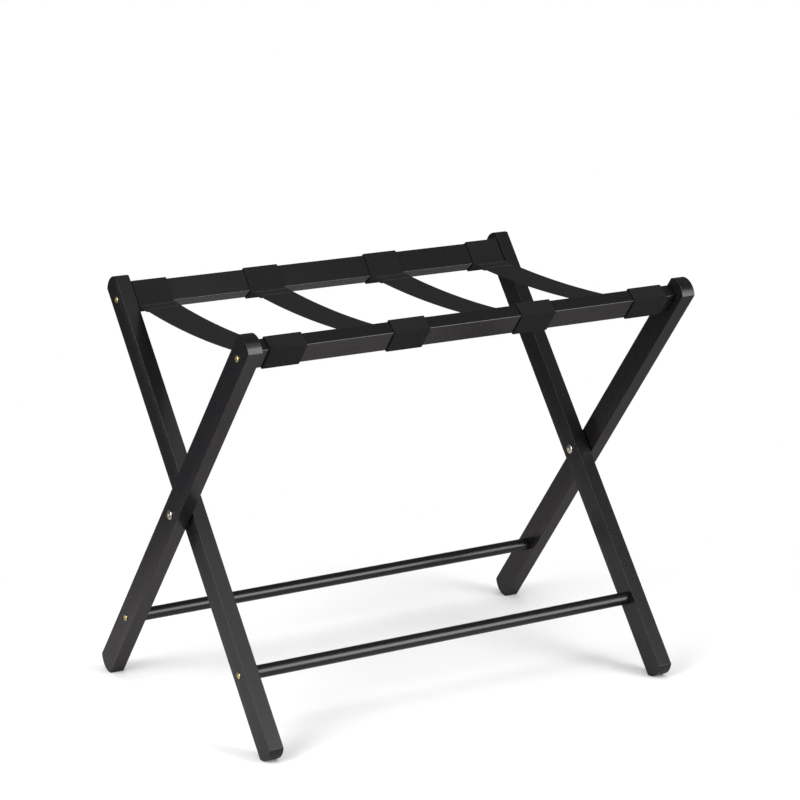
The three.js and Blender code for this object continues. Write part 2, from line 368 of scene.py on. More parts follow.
def deliver(piece, material, body, slot, *nodes):
    """Finishes a piece: its shading, material, body, and the CAD nodes that it stands for. The slot is not
    used.
    """
    smooth(piece)
    piece.data.materials.clear()
    piece.data.materials.append(material)
    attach(piece, body)
    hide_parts(*nodes)


# Shader helpers and shared effects


def feed(tree, socket, value):
    """Gives a socket another node's output, or a plain value."""
    if isinstance(value, bpy.types.NodeSocket):
        tree.links.new(value, socket)
    else:
        socket.default_value = value


def add_node(tree, kind, inputs=None, **settings):
    """A shader node. An input's value is a number, a tuple, or another node's output."""
    node = tree.nodes.new(kind)
    for key, value in settings.items():
        setattr(node, key, value)
    for key, value in (inputs or {}).items():
        feed(tree, node.inputs[key], value)
    return node


def maths(tree, operation, first, second=0.0, third=0.0):
    node = add_node(tree, "ShaderNodeMath", {0: first, 1: second, 2: third}, operation=operation)
    return node.outputs[0]


def multiplied(tree, vector, factors):
    return add_node(tree, "ShaderNodeVectorMath", {0: vector, 1: factors}, operation="MULTIPLY").outputs[0]


def noise(tree, vector, scale, detail=2.0, roughness=0.5):
    node = add_node(tree, "ShaderNodeTexNoise",
                    {"Vector": vector, "Scale": scale, "Detail": detail, "Roughness": roughness})
    return node.outputs["Fac"]


def ranged(tree, value, low, high, to_low, to_high):
    node = add_node(tree, "ShaderNodeMapRange", {
        "Value": value, "From Min": low, "From Max": high, "To Min": to_low, "To Max": to_high})
    return node.outputs["Result"]


def mixed(tree, factor, first, second, blend="MIX"):
    node = add_node(tree, "ShaderNodeMix", {"Factor": factor}, data_type="RGBA", blend_type=blend)
    feed(tree, node.inputs[6], first)
    feed(tree, node.inputs[7], second)
    return node.outputs[2]


def opaque(colour):
    return (*colour, 1.0)


def scaled_colour(colour, factor):
    return opaque([channel * factor for channel in colour])


def new_group(name, inputs, outputs):
    """An empty shader group. An input has a number, a vector, or None for a vector that is always linked."""
    group = bpy.data.node_groups.new(name, "ShaderNodeTree")
    for socket_name, default in inputs.items():
        kind = "NodeSocketFloat" if isinstance(default, float) else "NodeSocketVector"
        socket = group.interface.new_socket(socket_name, in_out="INPUT", socket_type=kind)
        if default is not None:
            socket.default_value = default
    for socket_name in outputs:
        group.interface.new_socket(socket_name, in_out="OUTPUT", socket_type="NodeSocketFloat")
    enter = group.nodes.new("NodeGroupInput")
    leave = group.nodes.new("NodeGroupOutput")
    return group, enter.outputs, leave.inputs


def grain_group():
    """Wood grain that shows through paint: long fine streaks along Z, and the paint's own soft ripple."""
    group, given, result = new_group(
        "wood_grain", {"Vector": None, "Stretch": (1, 1, 0.03)}, ["Height", "Streak"])
    stretched = multiplied(group, given["Vector"], given["Stretch"])
    streak = noise(group, stretched, 700, 4, 0.6)
    pores = ranged(group, noise(group, stretched, 2200, 2, 0.5), 0.6, 0.8, 0, 1)
    ripple = noise(group, given["Vector"], 420, 1, 0.4)
    lowered = maths(group, "MULTIPLY_ADD", pores, -0.35, streak)
    group.links.new(maths(group, "MULTIPLY_ADD", ripple, 0.7, lowered), result["Height"])
    group.links.new(streak, result["Streak"])
    return group


def wear_group():
    """Where handling has rubbed a finish: the given edges, broken up by noise."""
    group, given, result = new_group(
        "handling_wear", {"Vector": None, "Edge": 0.0, "Scale": 90.0}, ["Mask"])
    patches = noise(group, given["Vector"], given["Scale"], 3, 0.6)
    broken = ranged(group, patches, 0.35, 0.7, 0.25, 1.0)
    group.links.new(maths(group, "MULTIPLY", broken, given["Edge"]), result["Mask"])
    return group


def dust_group():
    """A thin film of dust on faces that look up."""
    group, given, result = new_group("settled_dust", {"Vector": None, "Amount": 0.05}, ["Mask"])
    normal = add_node(group, "ShaderNodeNewGeometry").outputs["Normal"]
    height = add_node(group, "ShaderNodeSeparateXYZ", {0: normal}).outputs["Z"]
    upward = ranged(group, height, 0.4, 1.0, 0, 1)
    specks = ranged(group, noise(group, given["Vector"], 1500, 3, 0.7), 0.5, 0.8, 0, 1)
    cloud = noise(group, given["Vector"], 25, 3, 0.6)
    film = maths(group, "MULTIPLY", maths(group, "ADD", specks, cloud), upward)
    group.links.new(maths(group, "MULTIPLY", film, given["Amount"]), result["Mask"])
    return group


def scuff_group():
    """Fine turning marks and blotches on plated metal."""
    group, given, result = new_group(
        "plating_marks", {"Vector": None, "Stretch": (1, 1, 1)}, ["Height", "Blotch"])
    stretched = multiplied(group, given["Vector"], given["Stretch"])
    group.links.new(noise(group, stretched, 2600, 2, 0.6), result["Height"])
    group.links.new(noise(group, given["Vector"], 380, 3, 0.6), result["Blotch"])
    return group


def weave_group():
    """Ribbed webbing on a UV map in metres: ribs across the strap, each of yarns side by side."""
    group, given, result = new_group(
        "ribbed_weave", {"UV": None, "Rib pitch": 0.0017, "Yarn pitch": 0.0011},
        ["Height", "Fibre", "Blotch"])
    place = add_node(group, "ShaderNodeSeparateXYZ", {0: given["UV"]}).outputs
    sway = maths(group, "MULTIPLY_ADD", noise(group, given["UV"], 160, 2, 0.5), 0.0006, place["Y"])
    rows = maths(group, "DIVIDE", sway, given["Rib pitch"])
    rib = maths(group, "ABSOLUTE", maths(group, "SINE", maths(group, "MULTIPLY", rows, math.pi)))
    offset = maths(group, "MULTIPLY", maths(group, "FLOOR", rows), 0.5)
    columns = maths(group, "ADD", maths(group, "DIVIDE", place["X"], given["Yarn pitch"]), offset)
    yarn = maths(group, "ABSOLUTE", maths(group, "SINE", maths(group, "MULTIPLY", columns, math.pi)))
    woven = maths(group, "MULTIPLY", rib, maths(group, "MULTIPLY_ADD", yarn, 0.45, 0.55))
    spun = multiplied(group, given["UV"], (0.25, 1, 1))
    fibre = noise(group, spun, 6000, 3, 0.7)
    group.links.new(maths(group, "MULTIPLY_ADD", fibre, 0.3, woven), result["Height"])
    group.links.new(fibre, result["Fibre"])
    group.links.new(noise(group, given["UV"], 70, 4, 0.65), result["Blotch"])
    return group


GROUP_MAKERS = {
    "wood_grain": grain_group, "handling_wear": wear_group, "settled_dust": dust_group,
    "plating_marks": scuff_group, "ribbed_weave": weave_group,
}


def effect(tree, name, **inputs):
    """Places a shared effect in a material. An underscore in an input's name stands for a space."""
    group = bpy.data.node_groups.get(name) or GROUP_MAKERS[name]()
    node = tree.nodes.new("ShaderNodeGroup")
    node.node_tree = group
    for key, value in inputs.items():
        feed(tree, node.inputs[key.replace("_", " ")], value)
    return node.outputs


def shaded(tree, factor, colour, dark, light):
    """A blend between a darker and a lighter shade of one colour."""
    return mixed(tree, factor, scaled_colour(colour, dark), scaled_colour(colour, light))


def new_material(name, **surface):
    """A material with a Principled surface. Uniform values are set on its own sockets."""
    material = bpy.data.materials.new(name)
    material.use_nodes = True
    tree = material.node_tree
    shader = tree.nodes["Principled BSDF"]
    for key, value in surface.items():
        shader.inputs[key.replace("_", " ")].default_value = value
    return material, tree, shader


def made_once(make):
    """Gives back the material of that name where there is one, and makes it otherwise."""
    @wraps(make)
    def give(name, *settings):
        return bpy.data.materials.get(name) or make(name, *settings)
    return give


def object_place(tree, rotation=(0, 0, 0)):
    place = add_node(tree, "ShaderNodeTexCoord").outputs["Object"]
    return add_node(tree, "ShaderNodeMapping", {"Vector": place, "Rotation": rotation}).outputs[0]


def coloured(tree, shader, colour):
    tree.links.new(colour, shader.inputs["Base Color"])


def roughened(tree, shader, roughness):
    tree.links.new(roughness, shader.inputs["Roughness"])


def bump(tree, shader, height, distance, strength):
    node = add_node(tree, "ShaderNodeBump", {"Height": height, "Distance": distance, "Strength": strength})
    tree.links.new(node.outputs[0], shader.inputs["Normal"])


@made_once
def paint_material(name, rotation):
    """Satin paint over wood whose grain runs along Z once the given rotation is applied."""
    timber = bpy.context.scene.rack_timber
    material, tree, shader = new_material(name, IOR=1.47)
    place = object_place(tree, rotation)
    grain = effect(tree, "wood_grain", Vector=place)
    edge = add_node(tree, "ShaderNodeAttribute", attribute_name="arris").outputs["Fac"]
    worn = effect(tree, "handling_wear", Vector=place, Edge=edge)["Mask"]
    dust = effect(tree, "settled_dust", Vector=place, Amount=0.008)["Mask"]
    body = shaded(tree, grain["Streak"], timber.paint, 0.92, 1.08)
    rubbed = mixed(tree, maths(tree, "MULTIPLY", worn, 0.6), body, scaled_colour(timber.paint, 4.0))
    dusted = mixed(tree, dust, rubbed, (0.35, 0.34, 0.33, 1))
    coloured(tree, shader, dusted)
    sheen = maths(tree, "MULTIPLY_ADD", grain["Streak"], 0.04, timber.paint_roughness - 0.02)
    polished = maths(tree, "MULTIPLY_ADD", worn, -0.06, sheen)
    roughened(tree, shader, maths(tree, "ADD", polished, dust))
    bump(tree, shader, grain["Height"], 0.00012, 0.02)
    return material


def leg_paint(side):
    name = "paint_along_outer_legs" if side > 0 else "paint_along_inner_legs"
    return paint_material(name, (-side * LEAN, 0, 0))


def bar_paint():
    return paint_material("paint_along_bars", (0, math.pi / 2, 0))


def bare_wood_material():
    """Unfinished beech: long flecks along X."""
    timber = bpy.context.scene.rack_timber
    material, tree, shader = new_material("bare_beech", Roughness=0.7)
    place = object_place(tree, (0, math.pi / 2, 0))
    grain = effect(tree, "wood_grain", Vector=place)
    worn = effect(tree, "handling_wear", Vector=place, Edge=1.0, Scale=300.0)["Mask"]
    colour = shaded(tree, grain["Streak"], timber.bare_wood, 0.7, 1.2)
    soil = maths(tree, "MULTIPLY", worn, 0.2)
    soiled = mixed(tree, soil, colour, scaled_colour(timber.bare_wood, 0.45))
    coloured(tree, shader, soiled)
    bump(tree, shader, grain["Height"], 0.0002, 0.5)
    return material


@made_once
def metal_material(name, colour, roughness, stretch):
    """Plated metal with fine marks and slightly uneven gloss."""
    material, tree, shader = new_material(name, Metallic=1.0)
    place = object_place(tree)
    marks = effect(tree, "plating_marks", Vector=place, Stretch=stretch)
    dust = effect(tree, "settled_dust", Vector=place, Amount=0.08)["Mask"]
    tone = shaded(tree, marks["Blotch"], colour, 0.82, 1.06)
    coloured(tree, shader, mixed(tree, dust, tone, (0.3, 0.29, 0.27, 1)))
    gloss = maths(tree, "MULTIPLY_ADD", marks["Blotch"], 0.18, roughness - 0.08)
    roughened(tree, shader, maths(tree, "ADD", gloss, dust))
    bump(tree, shader, marks["Height"], 0.00003, 0.3)
    return material


def brass_material():
    return metal_material("yellow_plate", bpy.context.scene.rack_hardware.brass, 0.26, (0.2, 1, 1))


def nickel_material():
    return metal_material("nickel_plate", bpy.context.scene.rack_hardware.nickel, 0.2, (0.2, 1, 1))


@made_once
def nylon_material(name):
    """Moulded nylon with a fine matt texture."""
    hardware = bpy.context.scene.rack_hardware
    material, tree, shader = new_material(name, IOR=1.53)
    place = object_place(tree)
    marks = effect(tree, "plating_marks", Vector=place)
    tone = shaded(tree, marks["Blotch"], hardware.nylon, 0.8, 1.3)
    coloured(tree, shader, tone)
    roughened(tree, shader, ranged(tree, marks["Blotch"], 0, 1, 0.42, 0.6))
    bump(tree, shader, marks["Height"], 0.00005, 0.5)
    return material


@made_once
def webbing_material(name):
    """Ribbed woven webbing on the strap's own UV map, which is in metres."""
    webbing = bpy.context.scene.rack_webbing
    material, tree, shader = new_material(
        name, IOR=1.45, Specular_IOR_Level=0.02, Sheen_Weight=0.01, Sheen_Roughness=0.5)
    uv = add_node(tree, "ShaderNodeUVMap", uv_map="webbing").outputs[0]
    weave = effect(tree, "ribbed_weave", UV=uv, Rib_pitch=webbing.rib_pitch, Yarn_pitch=webbing.yarn_pitch)
    place = object_place(tree)
    dust = effect(tree, "settled_dust", Vector=place, Amount=0.008)["Mask"]
    # Painted shade and light: the colour follows the weave's height, darker in the rib valleys and lighter
    # on the rib crests.
    light = ranged(tree, weave["Height"], 0.1, 1.1, 0, 1)
    woven = shaded(tree, light, webbing.colour, 0.35, 1.25)
    wear = maths(tree, "MULTIPLY", weave["Blotch"], 0.35)
    worn = mixed(tree, wear, woven, scaled_colour(webbing.colour, 0.75))
    loose = ranged(tree, weave["Fibre"], 0.6, 0.8, 0, 0.35)
    fuzz = mixed(tree, loose, worn, scaled_colour(webbing.colour, 2.2))
    coloured(tree, shader, mixed(tree, dust, fuzz, (0.3, 0.29, 0.28, 1)))
    roughened(tree, shader, ranged(tree, weave["Fibre"], 0, 1, 0.72, 0.95))
    bump(tree, shader, weave["Height"], 0.0003, 0.8)
    return material


@made_once
def thread_material(name):
    """Twisted polyester thread."""
    webbing = bpy.context.scene.rack_webbing
    material, tree, shader = new_material(name, Sheen_Weight=0.1)
    place = object_place(tree, (0, 0, math.radians(35)))
    marks = effect(tree, "plating_marks", Vector=place, Stretch=(1, 0.1, 1))
    # Painted shade and light: the colour follows the twist marks' height, darker in their hollows and
    # lighter on their crests.
    tone = shaded(tree, marks["Height"], webbing.thread, 0.5, 1.8)
    coloured(tree, shader, tone)
    roughened(tree, shader, ranged(tree, marks["Blotch"], 0, 1, 0.4, 0.6))
    bump(tree, shader, marks["Height"], 0.0001, 0.6)
    return material


# Legs


def domed_bar(radius):
    """A flat bar with a dome on each end, upright, with X through its thickness and the pivot at z = 0."""
    leg = add_bar("leg_pattern", -LEG_THICKNESS / 2, LEG_THICKNESS / 2, 2 * radius, steps=ARC_STEPS)
    with editing(leg):
        for side in (-1, 1):
            slice_at((0, side * LEG_HALF_WIDTH, 0), (0, side, 0), use_fill=True, clear_outer=True)
        for end, tip in ((1, LEG_TOP), (-1, LEG_FOOT)):
            pick_vertices(leg, lambda place, end=end: place.z * end > 0)
            bpy.ops.transform.translate(value=(0, 0, tip - end * radius))
    return leg


def stand_on_floor(leg):
    """Takes off the sliver of the foot that would lie under the floor."""
    floor_normal = Vector((0, math.sin(LEAN), math.cos(LEAN)))
    with editing(leg):
        slice_at(-PIVOT.z * floor_normal, floor_normal, use_fill=True, clear_inner=True)


def leg_pattern():
    """The outer frame's left leg, upright: its inside looks towards +X."""
    timber = bpy.context.scene.rack_timber
    hardware = bpy.context.scene.rack_hardware
    leg = domed_bar(timber.end_radius)
    stand_on_floor(leg)
    round_edges(leg, timber.arris)
    mark_arrises(leg, lambda normal: 0.2 < abs(normal.x) < 0.98)
    inside = LEG_THICKNESS / 2
    past = LEG_THICKNESS
    socket_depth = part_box("outer_stretcher")[1].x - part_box("outer_leg_right")[0].x + FACE_GAP
    pin_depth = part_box("outer_leg_left")[1].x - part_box("outer_rail_pin_left")[0].x + timber.blind_gap
    drill(leg, -past, past, hardware.screw_shank, z=RAIL_UP)
    drill(leg, inside - pin_depth, past, PIN_DIAMETER, y=RAIL_ACROSS, z=PIN_UP)
    drill(leg, -past, past, hardware.sleeve)
    drill(leg, inside - socket_depth, past, STRETCHER_DIAMETER, z=STRETCHER_UP)
    drill(leg, -past, past, hardware.screw_shank, z=STRETCHER_UP)
    return leg


class RACK_OT_add_legs(bpy.types.Operator):
    """Add the four legs, flat bars with domed ends, drilled for the pivots, screws, pins and stretchers"""

    bl_idname = "rack.add_legs"
    bl_label = "Legs"

    def execute(self, context):
        pattern = leg_pattern()
        for frame_name, side in FRAMES.items():
            for end_name, end in ENDS.items():
                name = f"{frame_name}_leg_{end_name}"
                leg = copied(pattern, f"{name}_timber", (-end, side, 1))
                placed(leg, x=end * LEG_X[frame_name], lean=side * LEAN)
                deliver(leg, leg_paint(side), f"{frame_name}_frame", "painted_wood", name)
        bpy.data.objects.remove(pattern)
        return {"FINISHED"}


# Top rails, stretchers and locating pins


def drill_ends(bar, half, *holes):
    """Drills both ends of a bar. A hole is (node that the right end holds, diameter, y, z)."""
    for end in ENDS.values():
        for node, diameter, y, z in holes:
            inmost = abs(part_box(node)[0].x) - bpy.context.scene.rack_timber.blind_gap
            drill(bar, end * inmost, end * (half + PAST_END), diameter, y, z)


class RACK_OT_add_top_rails(bpy.types.Operator):
    """Add the two top rails, with rounded arrises and drilled ends"""

    bl_idname = "rack.add_top_rails"
    bl_label = "Top rails"

    def execute(self, context):
        timber = context.scene.rack_timber
        hardware = context.scene.rack_hardware
        for frame_name, side in FRAMES.items():
            node = f"{frame_name}_top_rail"
            half = length_x(node) / 2
            rail = add_block(f"{node}_timber", (2 * half, 2 * RAIL_HALF_DEPTH, 2 * RAIL_HALF_HEIGHT))
            round_edges(rail, timber.arris)
            mark_arrises(rail, lambda normal: max(map(abs, normal)) < 0.98)
            drill_ends(rail, half,
                       (f"{frame_name}_rail_screw_right", hardware.screw_shank, -side * RAIL_ACROSS, 0),
                       (f"{frame_name}_rail_pin_right", PIN_DIAMETER, 0, PIN_UP - RAIL_UP))
            placed(rail, y=side * RAIL_ACROSS, z=RAIL_UP, lean=side * LEAN)
            deliver(rail, bar_paint(), f"{frame_name}_frame", "painted_wood", node)
        return {"FINISHED"}


class RACK_OT_add_stretchers(bpy.types.Operator):
    """Add the two round stretchers near the floor, with eased ends and screw holes"""

    bl_idname = "rack.add_stretchers"
    bl_label = "Stretchers"

    def execute(self, context):
        timber = context.scene.rack_timber
        hardware = context.scene.rack_hardware
        for frame_name, side in FRAMES.items():
            node = f"{frame_name}_stretcher"
            half = length_x(node) / 2
            bar = add_bar(f"{node}_timber", -half, half, STRETCHER_DIAMETER, steps=BAR_STEPS)
            round_edges(bar, timber.arris)
            mark_arrises(bar, lambda normal: 0.2 < abs(normal.x) < 0.98)
            drill_ends(bar, half, (f"{frame_name}_stretcher_screw_right", hardware.screw_shank, 0, 0))
            placed(bar, z=STRETCHER_UP, lean=side * LEAN)
            deliver(bar, bar_paint(), f"{frame_name}_frame", "painted_wood", node)
        return {"FINISHED"}


class RACK_OT_finish_pins(bpy.types.Operator):
    """Give the wooden locating pins inside the rail joints their bare wood"""

    bl_idname = "rack.finish_pins"
    bl_label = "Locating pins"

    def execute(self, context):
        wood = bare_wood_material()
        for frame_name in FRAMES:
            for end_name in ENDS:
                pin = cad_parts[f"{frame_name}_rail_pin_{end_name}"]
                pin.data.materials.clear()
                pin.data.materials.append(wood)
        return {"FINISHED"}


# Screws and pivots

DOME_RINGS = 10
RECESS_TAPER = 0.72  # of a recess arm's size at its floor
SCREW_RECESS_WIDTH = 0.0011
SCREW_RECESS_DEPTH = 0.0009
SCREW_HEAD_EDGE = 0.00008
PIVOT_RECESS_WIDTH = 0.0016
PIVOT_RECESS_DEPTH = 0.0012
PIVOT_HEAD_RIM = 0.0007  # the straight part of a pivot head's edge
PIVOT_HEAD_EDGE = 0.0001
BOLT_END_CHAMFER = 0.0005
WASHER_EDGE = 0.0003


def domed_profile(radius, height, rim):
    """The outside of a head, as (x, radius) points from its tip at -X to its underside."""
    eased = rim / 3
    points = []
    for ring in range(DOME_RINGS + 1):
        angle = math.pi / 2 * ring / DOME_RINGS
        points.append((-rim - (height - rim) * math.cos(angle), radius * math.sin(angle)))
    return [*points, (-eased, radius), (0, radius - eased)]


def cut_cross_recess(piece, top, length, width, depth):
    """Cuts a tapered cross into a head whose top is at x = top."""
    for arm in ((length, width), (width, length)):
        tool = add_block("recess", (2 * depth, *arm), (top, 0, 0))
        with editing(tool):
            pick_vertices(tool, lambda place: place.x > top)
            bpy.ops.transform.resize(
                value=(1, RECESS_TAPER, RECESS_TAPER), center_override=(top + depth, 0, 0))
        cut(piece, tool)


def finish_head(piece, edge):
    """Eases a head's edges and clears the slivers that the cuts leave."""
    round_edges(piece, edge, segments=1, angle=HEAD_EDGE_ANGLE)
    with editing(piece):
        select_whole()
        bpy.ops.mesh.dissolve_degenerate(threshold=TOUCHING)
    return piece


def wood_screw(hardware):
    low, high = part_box("outer_rail_screw_left")
    height = hardware.screw_head_height
    reach_in = high.x - low.x - height
    shank = hardware.screw_shank / 2
    head = domed_profile(SCREW_HEAD_DIAMETER / 2, height, height / 4)
    body = [(0, shank), (reach_in - hardware.screw_point, shank), (reach_in, shank / 4), (reach_in, 0)]
    screw = turned("screw_pattern", head + body, HEAD_STEPS)
    cut_cross_recess(screw, -height, hardware.screw_recess, SCREW_RECESS_WIDTH, SCREW_RECESS_DEPTH)
    return finish_head(screw, SCREW_HEAD_EDGE)


def pivot_head(hardware):
    return domed_profile(PIVOT_HEAD_DIAMETER / 2, hardware.pivot_head_height, PIVOT_HEAD_RIM)


def finish_pivot_head(piece, hardware):
    top = -hardware.pivot_head_height
    cut_cross_recess(piece, top, hardware.pivot_recess, PIVOT_RECESS_WIDTH, PIVOT_RECESS_DEPTH)
    return finish_head(piece, PIVOT_HEAD_EDGE)


class RACK_OT_add_screws(bpy.types.Operator):
    """Add the eight wood screws that hold the rails and stretchers to the legs"""

    bl_idname = "rack.add_screws"
    bl_label = "Wood screws"

    def execute(self, context):
        hardware = context.scene.rack_hardware
        pattern = wood_screw(hardware)
        for frame_name, side in FRAMES.items():
            for where, up in (("rail", RAIL_UP), ("stretcher", STRETCHER_UP)):
                for end_name, end in ENDS.items():
                    node = f"{frame_name}_{where}_screw_{end_name}"
                    outermost = max(abs(corner.x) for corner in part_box(node))
                    screw = copied(pattern, f"{node}_turned")
                    placed(screw, x=end * (outermost - hardware.screw_head_height), z=up,
                           lean=side * LEAN, turn=math.pi if end > 0 else 0)
                    deliver(screw, brass_material(), f"{frame_name}_frame", "brass_screw", node)
        bpy.data.objects.remove(pattern)
        return {"FINISHED"}


class RACK_OT_add_pivots(bpy.types.Operator):
    """Add the two pivots, each a bolt, a sleeve nut and a washer between the legs"""

    bl_idname = "rack.add_pivots"
    bl_label = "Pivots"

    def bolt(self, hardware):
        shank = hardware.bolt / 2
        profile = [*pivot_head(hardware), (0, shank), (hardware.bolt_reach - BOLT_END_CHAMFER, shank),
                   (hardware.bolt_reach, shank - BOLT_END_CHAMFER), (hardware.bolt_reach, 0)]
        return finish_pivot_head(turned("bolt_pattern", profile, HEAD_STEPS), hardware)

    def sleeve(self, hardware):
        low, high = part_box("pivot_sleeve_right")
        reach_in = high.x - low.x - hardware.pivot_head_height
        bore_floor = reach_in - hardware.bolt_reach
        wall = hardware.sleeve / 2
        bore = hardware.bolt / 2 + FACE_GAP
        profile = [*pivot_head(hardware), (0, wall), (reach_in, wall), (reach_in, bore), (bore_floor, bore),
                   (bore_floor, 0)]
        return finish_pivot_head(turned("sleeve_pattern", profile, HEAD_STEPS), hardware)

    def washer(self, hardware):
        half = length_x("pivot_washer_left") / 2
        outside = WASHER_DIAMETER / 2
        bore = hardware.sleeve / 2 + FACE_GAP
        profile = [(-half, bore), (-half, outside), (half, outside), (half, bore), (-half, bore)]
        washer = turned("washer_pattern", profile, HEAD_STEPS)
        round_edges(washer, WASHER_EDGE)
        return washer

    def execute(self, context):
        hardware = context.scene.rack_hardware
        bolt, sleeve, washer = self.bolt(hardware), self.sleeve(hardware), self.washer(hardware)
        height = hardware.pivot_head_height
        nickel, nylon = nickel_material(), nylon_material("moulded_nylon")
        for end_name, end in ENDS.items():
            bolt_top = max(abs(corner.x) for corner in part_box(f"pivot_bolt_{end_name}"))
            sleeve_top = min(abs(corner.x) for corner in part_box(f"pivot_sleeve_{end_name}"))
            pieces = (
                (bolt, "bolt", end * (bolt_top - height), end > 0, nickel, "nickel"),
                (sleeve, "sleeve", end * (sleeve_top + height), end < 0, nickel, "nickel"),
                (washer, "washer", middle(f"pivot_washer_{end_name}").x, False, nylon, "nylon"),
            )
            for pattern, kind, x, turned_round, material, slot in pieces:
                node = f"pivot_{kind}_{end_name}"
                piece = placed(copied(pattern, f"{node}_turned"), x=x, turn=math.pi if turned_round else 0)
                deliver(piece, material, "outer_frame", slot, node)
        for pattern in (bolt, sleeve, washer):
            bpy.data.objects.remove(pattern)
        return {"FINISHED"}


# Straps

FILLET_STEP = math.radians(15)
SPAN_STEPS = 44
WIDTH_STEPS = 12
TAIL_SPARE = 0.00006  # between the tail and the span that it is sewn to
BEND_RADIUS = 0.004
LONGEST_STEP = 0.006  # between points of the webbing's route round a rail
SELVEDGE_SHARE = 0.3  # of the webbing's thickness that is rounded off at its selvedges
STITCH_ROWS = (0.005, 0.0075, 0.021, 0.0235)  # from the rail's side to each row
STITCH_SHARE = 0.8  # of the pitch that a stitch covers
THREAD_DIAMETER = 0.0007
THREAD_DIP = 0.0006  # how far a stitch's ends dive into the webbing
SEWN_SHARE = 0.9  # of the strap's width that is sewn


def filleted(corners, radii):
    """A route through the corners with each turn rounded. Both ends are kept as they are."""
    route = [corners[0]]
    for before, corner, after, radius in zip(corners, corners[1:], corners[2:], radii):
        arriving = (corner - before).normalized()
        leaving = (after - corner).normalized()
        turn = arriving.angle(leaving)
        start = corner - arriving * radius * math.tan(turn / 2)
        side = (leaving - arriving * arriving.dot(leaving)).normalized()
        centre = start + side * radius
        steps = max(2, math.ceil(turn / FILLET_STEP))
        for step in range(steps + 1):
            angle = turn * step / steps
            route.append(centre - side * radius * math.cos(angle) + arriving * radius * math.sin(angle))
    return [*route, corners[-1]]


def divided(route, longest):
    """The same route, with long stretches divided."""
    points = [route[0]]
    for start, end in zip(route, route[1:]):
        steps = max(1, math.ceil((end - start).length / longest))
        points += [start.lerp(end, step / steps) for step in range(1, steps + 1)]
    return points


def to_side_view(across, up):
    """A point of the outer frame, in (across the leg, up the leg), as (y, z)."""
    place = PIVOT + ACROSS_LEG * across + UP_LEG * up
    return Vector((place.y, place.z))


def span_route():
    """The sagging middle of the webbing between the rails, from the outer frame's rail to the middle."""
    thickness = bpy.context.scene.rack_webbing.thickness
    end_y = -SPAN_LOW.y
    end_z = SPAN_HIGH.z - thickness / 2
    sag = SPAN_HIGH.z - SPAN_LOW.z - thickness
    half = []
    for step in range(SPAN_STEPS // 2 + 1):
        share = 1 - 2 * step / SPAN_STEPS
        half.append(Vector((-share * end_y, end_z - sag * (1 - share * share))))
    return half


def half_strap_route():
    """The webbing's middle line in side view: a tail, the turn round the outer rail and half the span."""
    webbing = bpy.context.scene.rack_webbing
    half_depth = LOOP_HALF_DEPTH - webbing.thickness / 2
    half_height = half_depth - RAIL_HALF_DEPTH + RAIL_HALF_HEIGHT
    corner = {}
    for across in (-1, 1):
        for up in (-1, 1):
            corner[across, up] = to_side_view(RAIL_ACROSS + across * half_depth, RAIL_UP + up * half_height)
    span = span_route()
    along_span = (span[1] - span[0]).normalized()
    below = Vector((along_span.y, -along_span.x)) * (webbing.thickness + TAIL_SPARE)

    def meet(point, direction, origin):
        """Where the line through a point meets the line along the span through the origin."""
        away = point - origin
        crossing = along_span.x * direction.y - along_span.y * direction.x
        return origin + along_span * ((away.x * direction.y - away.y * direction.x) / crossing)

    inner_face = corner[1, -1] - corner[1, 1]
    bottom_face = corner[1, -1] - corner[-1, -1]
    top_bend = meet(corner[1, 1], inner_face, span[0])
    tail_bend = meet(corner[-1, -1], bottom_face, span[0] + below)
    tail_end = tail_bend + along_span * webbing.tail
    first = span[2]
    corners = [tail_end, tail_bend, corner[-1, -1], corner[-1, 1], corner[1, 1], top_bend, first]
    radii = [BEND_RADIUS, webbing.corner, webbing.corner, webbing.corner, BEND_RADIUS]
    return divided(filleted(corners, radii), LONGEST_STEP) + span[3:]


def strap_route(index):
    """Points of a whole strap's middle line, in X, Y, Z."""
    half = half_strap_route()
    side_view = half + [Vector((-point.x, point.y)) for point in reversed(half[:-1])]
    front = middle(f"strap_{index}_front_loop").x
    back = middle(f"strap_{index}_back_loop").x
    end_y = -SPAN_LOW.y
    route = []
    for point in side_view:
        share = min(1, max(0, (point.x + end_y) / (2 * end_y)))
        route.append(Vector((front + (back - front) * share, point.x, point.y)))
    return route


def distances(route):
    """How far along the route each point lies."""
    total = [0.0]
    for start, end in zip(route, route[1:]):
        total.append(total[-1] + (end - start).length)
    return total


def make_webbing(name, route):
    """A flat grid of webbing, laid along the route, then given its thickness and rounded selvedges."""
    webbing = bpy.context.scene.rack_webbing
    deselect()
    bpy.ops.mesh.primitive_grid_add(x_subdivisions=WIDTH_STEPS, y_subdivisions=len(route) - 1, size=1)
    strap = take_name(name)
    mesh = strap.data
    runs = distances(route)
    rows = len(route)
    layer = mesh.uv_layers.active
    layer.name = "webbing"
    flat = {}
    for vertex in mesh.vertices:
        row = round((vertex.co.y + 0.5) * (rows - 1))
        across = vertex.co.x * STRAP_WIDTH
        flat[vertex.index] = (across, runs[row])
        vertex.co = route[row] + Vector((across, 0, 0))
    for loop in mesh.loops:
        layer.data[loop.index].uv = flat[loop.vertex_index]
    apply_modifier(strap, "SOLIDIFY", thickness=webbing.thickness, offset=0, use_even_offset=True)
    round_edges(strap, webbing.thickness * SELVEDGE_SHARE, segments=2, angle=SELVEDGE_ANGLE)
    turn_outwards(strap)
    return strap


